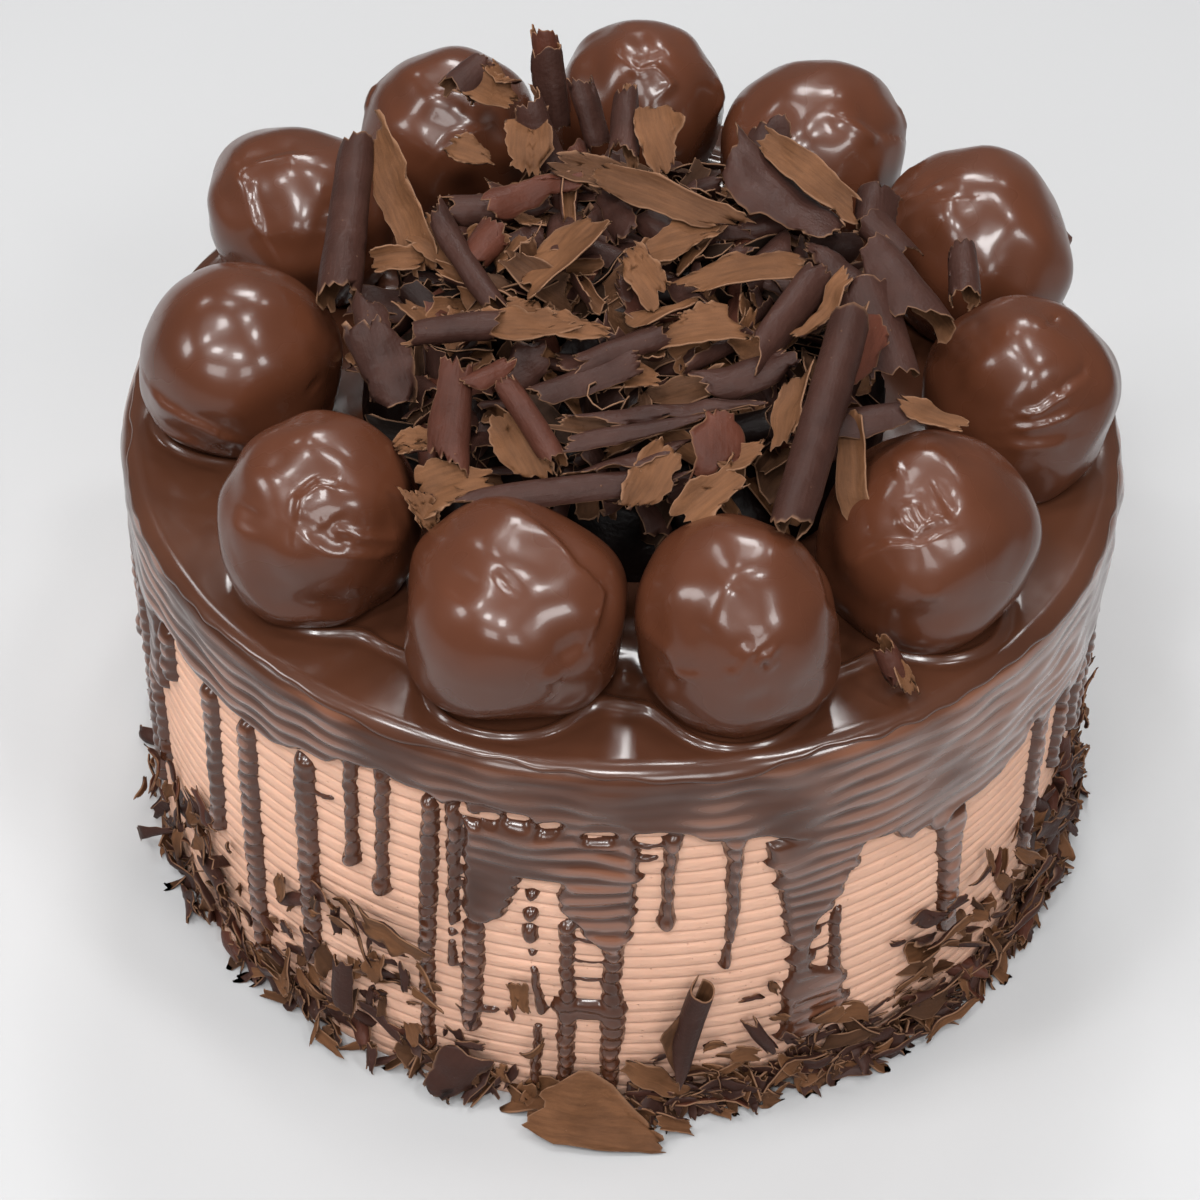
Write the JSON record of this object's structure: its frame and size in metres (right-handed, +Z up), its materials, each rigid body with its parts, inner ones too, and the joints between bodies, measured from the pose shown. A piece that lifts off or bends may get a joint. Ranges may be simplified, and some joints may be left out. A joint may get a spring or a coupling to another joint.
{
  "type": "profiterole cake",
  "caption": "Round celebration cake in combed chocolate cream, with a dripping chocolate glaze, a ring of glazed profiteroles and a heap of chocolate curls.",
  "frame": {"origin": "centre of the flat base of the cake", "axes": "+Z up along the cake's axis; -Y towards the side where the glaze hangs lowest in two sheets; +X to the right of that side"},
  "size_m": [0.2168, 0.2203, 0.1523],
  "materials": {
    "chocolate_cream": "soft matt cream with comb ridges",
    "ganache": "wet-looking gloss",
    "profiterole_glaze": "wet-looking gloss",
    "chocolate_curl": "satin outside, matt inside"
  },
  "bodies": {
    "root": {"cake_body": "chocolate_cream", "ganache_glaze": "ganache", "profiterole_01": "profiterole_glaze", "profiterole_02": "profiterole_glaze", "profiterole_03": "profiterole_glaze", "profiterole_04": "profiterole_glaze", "profiterole_05": "profiterole_glaze", "profiterole_06": "profiterole_glaze", "profiterole_07": "profiterole_glaze", "profiterole_08": "profiterole_glaze", "profiterole_09": "profiterole_glaze", "profiterole_10": "profiterole_glaze", "profiterole_11": "profiterole_glaze", "chocolate_curls": "chocolate_curl", "stray_curl": "chocolate_curl"}
  },
  "joints": []
}
